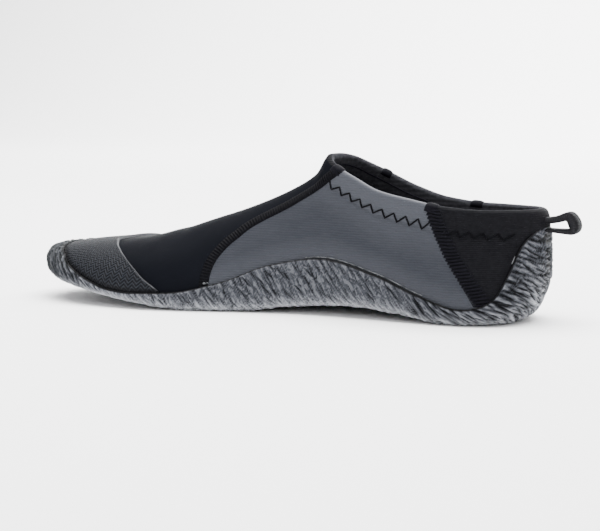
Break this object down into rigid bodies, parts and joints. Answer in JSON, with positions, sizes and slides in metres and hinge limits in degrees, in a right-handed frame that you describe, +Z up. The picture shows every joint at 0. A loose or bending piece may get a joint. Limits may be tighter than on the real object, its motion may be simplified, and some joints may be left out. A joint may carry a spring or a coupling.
{
  "type": "wetsuit bootie",
  "caption": "Low-cut slip-on neoprene bootie for water sports with a moulded rubber cup sole, woven toe cap, flatlock seams and a heel pull loop",
  "frame": {"origin": "On the floor, under the middle of the whole shoe's box, pull loop included", "axes": "+X points from toe to heel along the foot, -Y to the big-toe side, +Z up"},
  "size_m": [0.3034, 0.1052, 0.0825],
  "materials": {
    "rubber_sole": "matt grey rubber with a bark-like relief",
    "insole_foam": "black foam sheet faced with cloth",
    "neoprene_upper": "neoprene, smooth black in front and behind, grey jersey on the sides",
    "woven_toe_cap": "grey zigzag weave with a slight sheen",
    "loop_webbing": "dark grey woven tape",
    "seam_thread": "black flatlock stitching"
  },
  "bodies": {
    "root": {"outsole": "rubber_sole", "insole": "insole_foam", "upper": "neoprene_upper", "toe_cap": "woven_toe_cap", "pull_loop": "loop_webbing", "vamp_seam_medial": "seam_thread", "vamp_seam_lateral": "seam_thread", "heel_seam_medial": "seam_thread", "heel_seam_lateral": "seam_thread"}
  },
  "joints": []
}
